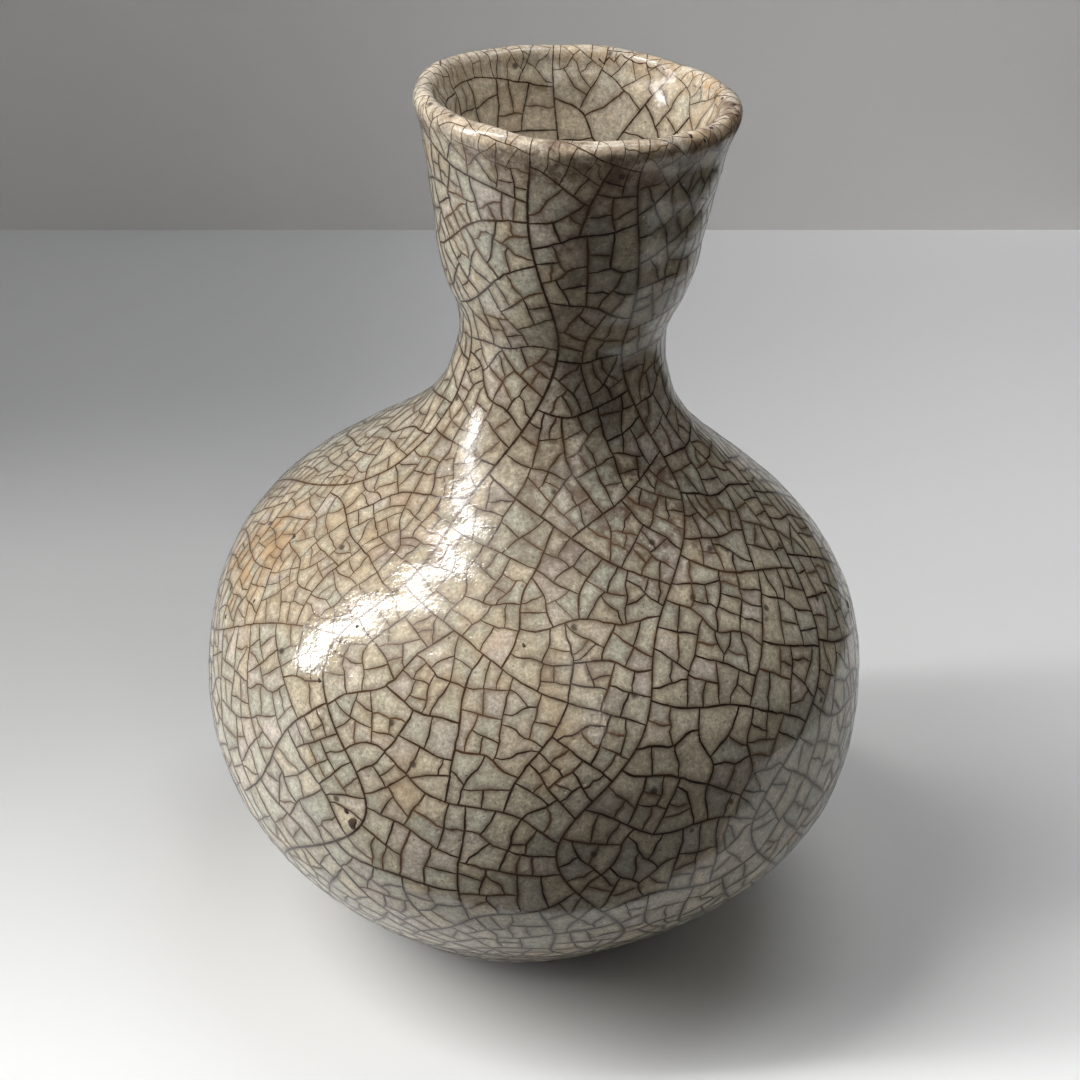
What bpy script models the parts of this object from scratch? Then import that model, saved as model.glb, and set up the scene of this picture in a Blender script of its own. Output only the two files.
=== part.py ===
"""A small crackle-glazed stoneware sake bottle with a round belly and a cup-shaped mouth.

It is built as a potter builds it: a turned foot ring, a thrown bulb, a thrown neck luted on in a
slanted joint, a rolled lip, and the coats of glaze outside, inside and under the foot.

Each section is turned about its own centre line and then leans with the bottle: the centre line
rises from the foot and leans towards +X, and every ring stays square to it.
"""

import math

import bpy
import numpy as np

MM = 0.001

# Outside of the bottle: height along the centre line and radius, in millimetres.
OUTSIDE_MM = (
    (0.0, 17.8),
    (3.0, 20.9),
    (8.0, 26.2),
    (15.1, 32.8),
    (24.1, 37.4),
    (34.2, 38.1),
    (44.3, 35.8),
    (52.3, 29.7),
    (58.3, 22.1),
    (63.4, 16.1),
    (68.4, 12.7),
    (72.4, 11.6),
    (76.5, 11.4),
    (81.5, 13.3),
    (87.5, 14.5),
    (93.5, 15.5),
    (100.6, 16.8),
)
# Whole wall, from the outside of the outer glaze to the inside of the inner glaze.
WALL_MM = ((10.0, 4.8), (50.0, 4.5), (76.0, 4.4), (86.0, 3.6), (97.3, 2.8))
# Rings of the coarser surfaces, closer together where the outline bends most.
RING_HEIGHTS_MM = (
    3.3, 7.0, 12.0, 18.0, 25.0, 32.0, 39.0, 45.5, 51.0, 55.5, 59.5, 63.0, 66.5, 70.0,
    73.0, 76.0, 79.0, 82.5, 87.0, 92.0, 97.3,
)  # fmt: skip
SIDES = 40

# The lean of the centre line: upright through the foot, then steeper over the belly than the neck.
BELLY_LEAN = math.radians(4.6)
NECK_LEAN = math.radians(3.2)
LEAN_STARTS_MM, LEAN_FULL_MM = 4.0, 26.0
NECK_LEAN_STARTS_MM, NECK_LEAN_FULL_MM = 46.0, 71.0

GAP = 0.3  # clear space between two sections
OUTER_GLAZE = 0.6
INNER_GLAZE = 0.5

UNDERSIDE = 3.9  # height of the bulb's flat underside
FLOOR_MM = ((0.0, 9.8), (8.0, 9.9), (15.5, 10.4))  # radius and height on the inner floor
FIRST_WALL_RING = 12.0  # the inner wall starts above the floor at this ring

JOINT_OUTSIDE, JOINT_INSIDE = 65.0, 68.0  # heights of the luted joint on the clay's two faces
JOINT_SLOT = 0.45  # the joint's gap measured along the centre line

FOOT_HEIGHT = UNDERSIDE - GAP
FOOT_OUTER, FOOT_INNER = 17.5, 13.2  # radii at the table
FOOT_FLARE = 0.8  # how much wider the foot's outside is at its top
FOOT_UNDERCUT = 0.5  # how much narrower the recess is at its top
FOOT_CHAMFER = 0.5
BASE_GLAZE_RADIUS = 12.2
BASE_GLAZE_HEIGHT = 3.0
BASE_GLAZE_EDGE = 0.3

NECK_TOP = 97.3
LIP_RADIUS, LIP_HEIGHT, LIP_ROLL = 15.9, 100.6, 1.2  # centre line of the roll and its own radius
LIP_ARC = (math.radians(-40), math.radians(200))
LIP_ARC_STEPS = 10

COLOURS = {
    "foot_ring": ((0.075, 0.040, 0.026), 0.75),
    "bulb_body": ((0.300, 0.255, 0.205), 0.85),
    "neck": ((0.300, 0.255, 0.205), 0.85),
    "lip_ring": ((0.560, 0.470, 0.345), 0.30),
    "outer_glaze": ((0.490, 0.460, 0.400), 0.16),
    "inner_glaze": ((0.520, 0.500, 0.440), 0.18),
    "base_glaze": ((0.440, 0.410, 0.350), 0.30),
}


def natural_spline(knots):
    """A smooth curve through (position, value) knots, as a function."""
    at, value = np.array(knots).T
    step = np.diff(at)
    count = len(at)
    matrix = np.eye(count)
    right = np.zeros(count)
    for i in range(1, count - 1):
        matrix[i, i - 1 : i + 2] = step[i - 1], 2 * (step[i - 1] + step[i]), step[i]
        right[i] = 6 * ((value[i + 1] - value[i]) / step[i] - (value[i] - value[i - 1]) / step[i - 1])
    bend = np.linalg.solve(matrix, right)

    def curve(x):
        i = int(np.clip(np.searchsorted(at, x) - 1, 0, count - 2))
        after, before = at[i + 1] - x, x - at[i]
        straight = value[i] * after / step[i] + value[i + 1] * before / step[i]
        bow_after = bend[i] * (after**3 / step[i] - after * step[i]) / 6
        bow_before = bend[i + 1] * (before**3 / step[i] - before * step[i]) / 6
        return straight + bow_after + bow_before

    return curve


def smoothstep(low, high, x):
    t = np.clip((x - low) / (high - low), 0.0, 1.0)
    return t * t * (3 - 2 * t)


def lean_at(height):
    """Angle of the centre line from upright."""
    onset = smoothstep(LEAN_STARTS_MM, LEAN_FULL_MM, height)
    change = smoothstep(NECK_LEAN_STARTS_MM, NECK_LEAN_FULL_MM, height)
    return BELLY_LEAN * onset + (NECK_LEAN - BELLY_LEAN) * change


AXIS_STEP = 0.1
AXIS_HEIGHTS = np.arange(0.0, 104.0, AXIS_STEP)
AXIS_LEANS = lean_at(AXIS_HEIGHTS)
AXIS_X = np.concatenate([[0.0], np.cumsum(np.sin(AXIS_LEANS[:-1]) * AXIS_STEP)])
AXIS_Z = np.concatenate([[0.0], np.cumsum(np.cos(AXIS_LEANS[:-1]) * AXIS_STEP)])


def leaning(points):
    """Points turned about the upright axis, moved onto the leaning centre line."""
    x, y, height = points.T
    lean = np.interp(height, AXIS_HEIGHTS, AXIS_LEANS)
    new_x = np.interp(height, AXIS_HEIGHTS, AXIS_X) + x * np.cos(lean)
    new_z = np.interp(height, AXIS_HEIGHTS, AXIS_Z) - x * np.sin(lean)
    return np.stack([new_x, y, new_z], axis=1)


def offset_line(line, distance):
    """The line of (radius, height) points moved to its left by distance, with mitred corners."""
    line = np.array(line)
    along = np.diff(line, axis=0)
    along /= np.linalg.norm(along, axis=1)[:, None]
    left = np.stack([-along[:, 1], along[:, 0]], axis=1)
    before = np.vstack([left[:1], left])
    after = np.vstack([left, left[-1:]])
    mitre = (before + after) / (1 + np.sum(before * after, axis=1))[:, None]
    return line + mitre * distance


def height_part(line, low, high):
    """The stretch of a rising line between two heights, with points added exactly at its ends."""
    radius, height = line.T
    inside = (height > low) & (height < high)
    ends = [(np.interp(h, height, radius), h) for h in (low, high)]
    return np.vstack([ends[0], line[inside], ends[1]])


outside_radius = natural_spline(OUTSIDE_MM)


def outside_line(heights):
    return np.array([(outside_radius(h), h) for h in heights])


def with_middles(heights):
    """The heights, with one more between each two."""
    heights = np.array(heights)
    return np.sort(np.concatenate([heights, (heights[1:] + heights[:-1]) / 2]))


def inside_line():
    """The inner face of the bottle, from the middle of the floor up to the lip ring."""
    heights = [h for h in RING_HEIGHTS_MM if h >= FIRST_WALL_RING]
    outside = outside_line(heights)
    wall = np.interp(heights, *np.array(WALL_MM).T)
    towards_axis = offset_line(outside, 1.0) - outside
    rising = outside + towards_axis * wall[:, None]
    line = np.vstack([FLOOR_MM, rising])
    line[-1, 1] = NECK_TOP
    return line


OUTSIDE = outside_line(RING_HEIGHTS_MM)
INSIDE = inside_line()
CLAY_OUTSIDE = offset_line(OUTSIDE, OUTER_GLAZE + GAP)
CLAY_INSIDE = offset_line(INSIDE, -INNER_GLAZE - GAP)


def fresh_collection(name):
    for item in list(bpy.data.objects):
        bpy.data.objects.remove(item)
    collection = bpy.data.collections.new(name)
    bpy.context.scene.collection.children.link(collection)
    return collection


def plain_material(name):
    (red, green, blue), roughness = COLOURS[name]
    material = bpy.data.materials.new(name)
    material.use_nodes = True
    shader = material.node_tree.nodes["Principled BSDF"]
    shader.inputs["Base Color"].default_value = (red, green, blue, 1.0)
    shader.inputs["Roughness"].default_value = roughness
    shader.inputs["Metallic"].default_value = 0.0
    return material


def turned(name, outline, collection):
    """A turned section from its outline of (radius, height) in millimetres, leaning with the bottle.

    The outline runs down its outer side. It closes on itself unless both its ends are on the axis.
    """
    points = np.array([(radius, 0.0, height) for radius, height in outline])
    edges = [(i, i + 1) for i in range(len(points) - 1)]
    if points[0, 0] > 0 or points[-1, 0] > 0:
        edges.append((len(points) - 1, 0))
    profile = bpy.data.meshes.new(name + "_profile")
    profile.from_pydata((points * MM).tolist(), edges, [])
    item = bpy.data.objects.new(name, profile)
    collection.objects.link(item)

    screw = item.modifiers.new("turn", "SCREW")
    screw.axis = "Z"
    screw.steps = SIDES
    screw.render_steps = SIDES
    screw.use_merge_vertices = True
    screw.merge_threshold = 0.00005

    bpy.context.view_layer.update()
    evaluated = item.evaluated_get(bpy.context.evaluated_depsgraph_get())
    mesh = bpy.data.meshes.new_from_object(evaluated)
    item.modifiers.clear()
    item.data = mesh
    bpy.data.meshes.remove(profile)
    mesh.name = name

    flat = np.empty(len(mesh.vertices) * 3)
    mesh.vertices.foreach_get("co", flat)
    mesh.vertices.foreach_set("co", (leaning(flat.reshape(-1, 3) / MM) * MM).ravel())
    mesh.shade_smooth()
    mesh.set_sharp_from_angle(angle=math.radians(40))
    mesh.materials.clear()
    mesh.materials.append(plain_material(name))
    return item


def downwards(line):
    return np.array(line)[::-1]


def foot_ring(collection):
    outline = (
        (FOOT_INNER - FOOT_UNDERCUT, FOOT_HEIGHT),
        (FOOT_OUTER + FOOT_FLARE, FOOT_HEIGHT),
        (FOOT_OUTER, FOOT_CHAMFER),
        (FOOT_OUTER - FOOT_CHAMFER, 0.0),
        (FOOT_INNER + FOOT_CHAMFER, 0.0),
        (FOOT_INNER, FOOT_CHAMFER),
    )
    return turned("foot_ring", outline, collection)


def bulb_body(collection):
    inner = CLAY_INSIDE[CLAY_INSIDE[:, 1] < JOINT_INSIDE]
    inner_edge = height_part(CLAY_INSIDE[3:], JOINT_INSIDE, NECK_TOP)[:1]
    outer = height_part(CLAY_OUTSIDE, UNDERSIDE, JOINT_OUTSIDE)
    outline = np.vstack([inner, inner_edge, downwards(outer), [(0.0, UNDERSIDE)]])
    return turned("bulb_body", outline, collection)


def neck(collection):
    inner = height_part(CLAY_INSIDE[3:], JOINT_INSIDE + JOINT_SLOT, NECK_TOP)
    outer = height_part(CLAY_OUTSIDE, JOINT_OUTSIDE + JOINT_SLOT, NECK_TOP)
    return turned("neck", np.vstack([inner, downwards(outer)]), collection)


def lip_ring(collection):
    bottom = NECK_TOP + GAP
    angles = np.linspace(*LIP_ARC, LIP_ARC_STEPS + 1)
    roll = [
        (LIP_RADIUS + LIP_ROLL * math.cos(a), LIP_HEIGHT + LIP_ROLL * math.sin(a)) for a in angles
    ]
    outer_side = [(outside_radius(bottom), bottom), (outside_radius(bottom + 1), bottom + 1)]
    inner_side = [(INSIDE[-1, 0] + 0.7, bottom + 1.4), (INSIDE[-1, 0] + 0.1, bottom)]
    return turned("lip_ring", downwards(outer_side + roll + inner_side), collection)


def outer_glaze(collection):
    front = outside_line(with_middles(RING_HEIGHTS_MM))
    back = offset_line(OUTSIDE, OUTER_GLAZE)
    back[-1, 1] = NECK_TOP
    return turned("outer_glaze", np.vstack([back, downwards(front)]), collection)


def inner_glaze(collection):
    back = offset_line(INSIDE, -INNER_GLAZE)
    back[0, 0] = 0.0
    back[-1, 1] = NECK_TOP
    return turned("inner_glaze", np.vstack([INSIDE, downwards(back)]), collection)


def base_glaze(collection):
    outline = (
        (0.0, FOOT_HEIGHT),
        (BASE_GLAZE_RADIUS, FOOT_HEIGHT),
        (BASE_GLAZE_RADIUS, BASE_GLAZE_HEIGHT + BASE_GLAZE_EDGE),
        (BASE_GLAZE_RADIUS - BASE_GLAZE_EDGE, BASE_GLAZE_HEIGHT),
        (0.0, BASE_GLAZE_HEIGHT),
    )
    return turned("base_glaze", outline, collection)


def centre_on_origin(items):
    """Puts the middle of the whole bottle's footprint on the origin; the foot stays at height 0."""
    corners = np.array([corner for item in items for corner in item.bound_box])
    middle = (corners.min(axis=0) + corners.max(axis=0)) / 2
    for item in items:
        item.location = (-middle[0], -middle[1], 0.0)


bottle = fresh_collection("sake_bottle")
makers = (foot_ring, bulb_body, neck, lip_ring, outer_glaze, inner_glaze, base_glaze)
centre_on_origin([make(bottle) for make in makers])
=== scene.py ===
"""Looks of a small crackle-glazed stoneware sake bottle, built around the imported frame.

The glaze is three closed coats (outside, lip, inside) on one continuous turned surface. A crackle
network is grown on that surface by splitting cells again and again, as a cooling glaze cracks, and
every crack is a thin stained strip set into the glaze. The cells also tint the glaze between them.
"""

import math

import bpy
import numpy as np
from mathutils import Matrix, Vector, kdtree


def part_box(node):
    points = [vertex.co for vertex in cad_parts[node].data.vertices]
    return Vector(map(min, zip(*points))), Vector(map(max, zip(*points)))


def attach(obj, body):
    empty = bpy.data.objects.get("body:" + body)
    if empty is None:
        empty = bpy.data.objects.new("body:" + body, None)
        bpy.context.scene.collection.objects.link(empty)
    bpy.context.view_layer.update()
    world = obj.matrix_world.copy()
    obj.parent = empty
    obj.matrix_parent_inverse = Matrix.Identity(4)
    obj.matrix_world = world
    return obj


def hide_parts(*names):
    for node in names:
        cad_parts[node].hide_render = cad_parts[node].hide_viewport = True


MM = 0.001
TURN = 2 * math.pi

# ---------------------------------------------------------------- the turned surface

# Outside of the bottle: height along the centre line and radius, in millimetres.
OUTSIDE_MM = (
    (0.0, 17.8),
    (3.0, 20.9),
    (8.0, 26.2),
    (15.1, 32.8),
    (24.1, 37.4),
    (34.2, 38.1),
    (44.3, 35.8),
    (52.3, 29.7),
    (58.3, 22.1),
    (63.4, 16.1),
    (68.4, 12.7),
    (72.4, 11.6),
    (76.5, 11.4),
    (81.5, 13.3),
    (87.5, 14.5),
    (93.5, 15.5),
    (100.6, 16.8),
)
WALL_MM = ((10.0, 4.8), (50.0, 4.5), (76.0, 4.4), (86.0, 3.6), (97.3, 2.8))
FLOOR_MM = ((15.5, 10.4), (8.0, 9.9), (0.3, 9.8))  # radius and height on the inner floor
GLAZE_START = 3.5  # height at which the outer glaze begins, above the foot
OUTSIDE_ENDS = 98.4  # height at which the outside runs into the lip's roll
LIP_RADIUS, LIP_HEIGHT, LIP_ROLL = 15.9, 100.55, 1.25
LIP_ARC = (math.radians(-35), math.radians(200))
INNER_WALL_TOP, INNER_WALL_FOOT = 97.8, 14.0
SOFTEN = 0.45  # how far the joins of the outline are smoothed, in millimetres
STEP = 0.2  # spacing of the outline's samples

BELLY_LEAN, NECK_LEAN = math.radians(4.6), math.radians(3.2)
LEAN_STARTS, LEAN_FULL = 4.0, 26.0
NECK_LEAN_STARTS, NECK_LEAN_FULL = 46.0, 71.0


def natural_spline(knots):
    """A smooth curve through (position, value) knots, as a function of an array."""
    at, value = np.array(knots).T
    step = np.diff(at)
    count = len(at)
    matrix = np.eye(count)
    right = np.zeros(count)
    for i in range(1, count - 1):
        matrix[i, i - 1 : i + 2] = step[i - 1], 2 * (step[i - 1] + step[i]), step[i]
        right[i] = 6 * ((value[i + 1] - value[i]) / step[i] - (value[i] - value[i - 1]) / step[i - 1])
    bend = np.linalg.solve(matrix, right)

    def curve(x):
        x = np.asarray(x, float)
        i = np.clip(np.searchsorted(at, x) - 1, 0, count - 2)
        after, before, gap = at[i + 1] - x, x - at[i], step[i]
        straight = (value[i] * after + value[i + 1] * before) / gap
        bow = bend[i] * (after**3 / gap - after * gap) + bend[i + 1] * (before**3 / gap - before * gap)
        return straight + bow / 6

    return curve


def smoothstep(low, high, x):
    t = np.clip((x - low) / (high - low), 0.0, 1.0)
    return t * t * (3 - 2 * t)


def bell(x, middle, width):
    return np.exp(-(((x - middle) / width) ** 2))


def evenly(line, spacing):
    """The line's points, moved to even spacing along it."""
    travelled = np.concatenate([[0], np.cumsum(np.linalg.norm(np.diff(line, axis=0), axis=1))])
    at = np.linspace(0, travelled[-1], int(round(travelled[-1] / spacing)) + 1)
    return np.stack([np.interp(at, travelled, column) for column in line.T], axis=1)


def softened(line, width, spacing):
    """The line with its corners eased over a few samples; its two ends stay put."""
    reach = int(3 * width / spacing)
    weights = np.exp(-((np.arange(-reach, reach + 1) * spacing / width) ** 2) / 2)
    weights /= weights.sum()
    padded = np.vstack([2 * line[0] - line[reach:0:-1], line, 2 * line[-1] - line[-2 : -reach - 2 : -1]])
    return np.stack([np.convolve(column, weights, "valid") for column in padded.T], axis=1)


def whole_outline():
    """(radius, height) of the glaze from the foot up the outside, over the lip and down inside."""
    radius = natural_spline(OUTSIDE_MM)
    heights = np.arange(GLAZE_START, OUTSIDE_ENDS, STEP)
    outside = np.stack([radius(heights), heights], axis=1)
    angles = np.linspace(*LIP_ARC, 40)
    roll = np.stack(
        [LIP_RADIUS + LIP_ROLL * np.cos(angles), LIP_HEIGHT + LIP_ROLL * np.sin(angles)], axis=1
    )
    heights = np.arange(INNER_WALL_TOP, INNER_WALL_FOOT, -STEP)
    slope = (radius(heights + 0.1) - radius(heights - 0.1)) / 0.2
    wall = np.interp(heights, *np.array(WALL_MM).T) / np.sqrt(1 + slope**2)
    inside = np.stack([radius(heights) - wall, heights + wall * slope], axis=1)
    line = evenly(np.vstack([outside, roll, inside, FLOOR_MM]), STEP)
    return evenly(softened(line, SOFTEN, STEP), STEP)


OUTLINE = whole_outline()
LENGTHS = np.arange(len(OUTLINE)) * STEP
END = LENGTHS[-1]
_top = int(np.argmax(OUTLINE[:, 1]))
LIP_TOP = LENGTHS[_top]
LIP_START = LIP_TOP - 4.4  # length along the outline where the lip's own coat begins
LIP_END = LIP_TOP + 4.6
THROAT = LENGTHS[_top + int(np.argmin(OUTLINE[_top : _top + 250, 0]))]


def length_at(height):
    """Length along the outline at which the outside reaches a height."""
    return float(np.interp(height, OUTLINE[: _top + 1, 1], LENGTHS[: _top + 1]))


AXIS_STEP = 0.1
AXIS_HEIGHTS = np.arange(0.0, 104.0, AXIS_STEP)
AXIS_LEANS = BELLY_LEAN * smoothstep(LEAN_STARTS, LEAN_FULL, AXIS_HEIGHTS) + (
    NECK_LEAN - BELLY_LEAN
) * smoothstep(NECK_LEAN_STARTS, NECK_LEAN_FULL, AXIS_HEIGHTS)
AXIS_X = np.concatenate([[0.0], np.cumsum(np.sin(AXIS_LEANS[:-1]) * AXIS_STEP)])
AXIS_Z = np.concatenate([[0.0], np.cumsum(np.cos(AXIS_LEANS[:-1]) * AXIS_STEP)])


def hand(turn, along):
    """Millimetres by which the potter's hand left the surface proud (+) or shy (-)."""
    outside = 1 - smoothstep(LIP_TOP - 6, LIP_TOP - 3, along)
    lip = bell(along, LIP_TOP, 3.5)
    rings = 0.035 * np.sin(TURN * along / 5.1 + 0.8 * np.sin(turn + 1.0)) * outside
    wobble = 0.10 * np.sin(2 * turn + 0.7 + along / 31) + 0.07 * np.sin(3 * turn - along / 17)
    wave = 0.10 * np.sin(5 * turn + 1.0) + 0.06 * np.sin(9 * turn + 2.2) + 0.04 * np.sin(14 * turn)
    return rings + wobble * outside + wave * lip


def placed(turn, along, lift=0.0, foot_x=0.0):
    """Points on the bottle, in metres, at a turn about the axis and a length along the outline."""
    turn, along = np.broadcast_arrays(np.asarray(turn, float), np.asarray(along, float))
    radius = np.interp(along, LENGTHS, OUTLINE[:, 0])
    height = np.interp(along, LENGTHS, OUTLINE[:, 1])
    tangent_r = np.interp(along, LENGTHS, SLOPES[:, 0])
    tangent_h = np.interp(along, LENGTHS, SLOPES[:, 1])
    off = hand(turn, along) + lift
    radius = radius + tangent_h * off
    height = height - tangent_r * off
    x, y = radius * np.cos(turn), radius * np.sin(turn)
    lean = np.interp(height, AXIS_HEIGHTS, AXIS_LEANS)
    new_x = np.interp(height, AXIS_HEIGHTS, AXIS_X) + x * np.cos(lean)
    new_z = np.interp(height, AXIS_HEIGHTS, AXIS_Z) - x * np.sin(lean)
    return np.stack([new_x * MM + foot_x, y * MM, new_z * MM], axis=-1)


SLOPES = np.gradient(OUTLINE, STEP, axis=0)
SLOPES /= np.linalg.norm(SLOPES, axis=1)[:, None]


def normals_at(turn, along):
    """Outward normals of the placed surface."""
    d_turn, d_along = 0.004, 0.12
    across = placed(turn + d_turn, along) - placed(turn - d_turn, along)
    up = placed(turn, along + d_along) - placed(turn, along - d_along)
    normal = np.cross(across, up)
    return normal / np.linalg.norm(normal, axis=-1, keepdims=True)


# ---------------------------------------------------------------- the crackle network

STRIPS = 7  # long cracks that climb the whole bottle
CRACK_STEP = 0.8  # spacing of the points along a crack, in millimetres
MIN_SIDE = 0.9
TRIES = 4  # cuts that are compared before a cell splits
WIGGLE = 0.040  # small unevenness of a crack, in millimetres


def cell_area(turn, along):
    """Area in square millimetres at which a cell stops splitting."""
    outer = 9.2 - 2.4 * bell(along, length_at(72), 16) + 1.4 * bell(along, length_at(32), 18)
    facing = 0.5 + 0.5 * math.cos(turn - math.radians(205))
    outer *= 1 - 0.40 * facing**3 * float(bell(along, length_at(50), 14))
    lip = 5.0
    inner = 17.0 + 80 * float(smoothstep(LIP_TOP + 26, LIP_TOP + 60, along))
    to_lip = float(smoothstep(LIP_TOP - 7, LIP_TOP - 2.5, along))
    to_inner = float(smoothstep(LIP_TOP + 2.0, LIP_TOP + 8, along))
    return outer * (1 - to_lip) + lip * (to_lip - to_inner) + inner * to_inner


def stretch(along):
    """How much longer across a cell counts as being, so that it is split upright first."""
    return 1 + 0.9 * float(bell(along, LIP_TOP, 4.5)) + 0.35 * float(bell(along, length_at(72), 14))


def radius_at(along):
    return np.maximum(np.interp(along, LENGTHS, OUTLINE[:, 0]), 0.5)


def flat(cell, centre):
    """A cell's (turn, along) points as millimetres about its centre."""
    return np.stack([(cell[:, 0] - centre[0]) * radius_at(cell[:, 1]), cell[:, 1] - centre[1]], axis=1)


def wrapped(points, centre):
    along = points[:, 1] + centre[1]
    return np.stack([centre[0] + points[:, 0] / radius_at(along), along], axis=1)


def following(values):
    """Each value's successor around a closed polygon."""
    return np.concatenate([values[1:], values[:1]])


def moments(points):
    """Area, centroid and second moments of a polygon."""
    x, y = points.T
    x2, y2 = following(x), following(y)
    cross = x * y2 - x2 * y
    area = cross.sum() / 2
    cx, cy = ((x + x2) * cross).sum() / (6 * area), ((y + y2) * cross).sum() / (6 * area)
    xx = ((x * x + x * x2 + x2 * x2) * cross).sum() / 12 / area - cx * cx
    yy = ((y * y + y * y2 + y2 * y2) * cross).sum() / 12 / area - cy * cy
    xy = ((x * y2 + 2 * x * y + 2 * x2 * y2 + x2 * y) * cross).sum() / 24 / area - cx * cy
    return abs(area), np.array([cx, cy]), np.array([[xx, xy], [xy, yy]])


def inside(points, polygon):
    """Which of the points lie in the polygon."""
    x, y = points[:, 0, None], points[:, 1, None]
    x1, y1 = polygon.T
    x2, y2 = following(x1), following(y1)
    spans = (y1 <= y) != (y2 <= y)
    with np.errstate(divide="ignore", invalid="ignore"):
        cuts = x1 + (y - y1) * (x2 - x1) / (y2 - y1)
    return (spans & (x < cuts)).sum(axis=1) % 2 == 1


def crossings(polygon, through, along):
    """Nearest places, each way, where a line through a point leaves the polygon."""
    normal = np.array([-along[1], along[0]])
    side = (polygon - through) @ normal
    other = following(side)
    at = np.nonzero((side <= 0) != (other <= 0))[0]
    if len(at) < 2:
        return None
    share = side[at] / (side[at] - other[at])
    where = polygon[at] + (polygon[(at + 1) % len(polygon)] - polygon[at]) * share[:, None]
    distance = (where - through) @ along
    ahead, behind = distance > 1e-6, distance < -1e-6
    if not ahead.any() or not behind.any():
        return None
    i = at[ahead][np.argmin(distance[ahead])], at[behind][np.argmax(distance[behind])]
    p = where[ahead][np.argmin(distance[ahead])], where[behind][np.argmax(distance[behind])]
    return i, p


def inward(polygon, edge, towards):
    """Unit normal of an edge of the polygon, on the side of the given direction."""
    a, b = polygon[edge], polygon[(edge + 1) % len(polygon)]
    normal = np.array([-(b - a)[1], (b - a)[0]])
    normal /= np.linalg.norm(normal) + 1e-9
    return normal if normal @ towards > 0 else -normal


def crack_between(polygon, edges, ends, rng):
    """A curve that leaves both sides nearly square, with a slight wander."""
    start, finish = ends
    span = finish - start
    length = np.linalg.norm(span)
    chord = span / length
    square = rng.uniform(0.35, 0.95)
    first = inward(polygon, edges[0], chord) * square + chord * (1 - square)
    last = inward(polygon, edges[1], -chord) * square - chord * (1 - square)
    reach = length * rng.uniform(0.28, 0.48)
    count = max(3, math.ceil(length / CRACK_STEP))
    t = np.linspace(0, 1, count + 1)[:, None]
    a, b = start + first * reach, finish + last * reach
    curve = (1 - t) ** 3 * start + 3 * (1 - t) ** 2 * t * a + 3 * (1 - t) * t**2 * b + t**3 * finish
    across = np.array([-chord[1], chord[0]])
    wander = np.sin(np.pi * t) * np.sin(t * rng.uniform(4, 9) + rng.uniform(0, TURN))
    curve = curve + across * wander * length * rng.normal(0, 0.035)
    curve[1:-1] += rng.normal(0, WIGGLE, (len(curve) - 2, 2))
    return curve


def roundness(polygon, edges, ends):
    """How round the thinner of the two parts would be if the polygon were cut straight across."""
    (i, j), (p, q) = edges, ends
    i, j, p, q = (i, j, p, q) if i < j else (j, i, q, p)
    worst = 1.0
    for part in (
        np.vstack([polygon[i + 1 : j + 1], q, p]),
        np.vstack([polygon[j + 1 :], polygon[: i + 1], p, q]),
    ):
        x, y = part.T
        x2, y2 = following(x), following(y)
        area = abs((x * y2 - x2 * y).sum()) / 2
        around = np.hypot(x - x2, y - y2).sum()
        worst = min(worst, 12.6 * area / around**2)
    return worst


def split(cell, rng):
    """Two cells and the crack between them, or None when the cell stays whole."""
    centre = cell.mean(axis=0)
    area, middle, spread = moments(flat(cell, centre))
    centre = wrapped(middle[None], centre)[0]
    points = flat(cell, centre)
    target = cell_area(*centre) * math.exp(rng.normal(0, 0.32))
    if area < max(target, 1.6):
        return None
    widen = stretch(centre[1])
    spread = spread * np.array([[widen**2, widen], [widen, 1.0]])
    _, axes = np.linalg.eigh(spread)
    long_axis = axes[:, 1]
    large = float(smoothstep(30, 400, area))
    choices = []
    for attempt in range(TRIES if area < 40 else 3 * TRIES):
        swing = rng.normal(0, 0.14 + 0.12 * min(attempt, TRIES) + 0.5 * large)
        cut = np.array(
            [
                -long_axis[1] * math.cos(swing) - long_axis[0] * math.sin(swing),
                long_axis[0] * math.cos(swing) - long_axis[1] * math.sin(swing),
            ]
        )
        through = long_axis * math.sqrt(area) * rng.normal(0, 0.15)
        found = crossings(points, through, cut)
        if found is not None and np.linalg.norm(found[1][0] - found[1][1]) > MIN_SIDE:
            choices.append((roundness(points, *found), found))
    choices.sort(key=lambda choice: -choice[0])
    for _, found in choices[: 2 if area < 40 else None]:
        (i, j), (p, q) = found
        curve = crack_between(points, (i, j), (p, q), rng)
        if not inside(curve[1:-1], points).all():
            t = np.linspace(0, 1, len(curve))[:, None]
            curve = p + (q - p) * t
        crack = wrapped(curve, centre)
        if i < j:
            first = np.vstack([cell[i + 1 : j + 1], crack[::-1]])
            second = np.vstack([cell[j + 1 :], cell[: i + 1], crack])
        else:
            first = np.vstack([cell[j + 1 : i + 1], crack])
            second = np.vstack([cell[i + 1 :], cell[: j + 1], crack[::-1]])
        return (first, second), crack, area
    return None


def long_crack(number, rng_table):
    """One of the cracks that climb the bottle from the foot to the inner floor."""
    along = np.arange(0.0, END, CRACK_STEP)
    phase, wander, slow = rng_table[number % STRIPS]
    drift = 0.0105 * along - 0.35 * smoothstep(length_at(60), LIP_TOP, along)
    sway = 0.20 * np.sin(along / 10 + phase) + 0.08 * np.sin(along / 4.3 + wander)
    shift = 0.35 * slow * bell(along, length_at(35), 40)
    turn = TURN * number / STRIPS + drift + sway + shift
    return np.stack([turn, along], axis=1)


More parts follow.
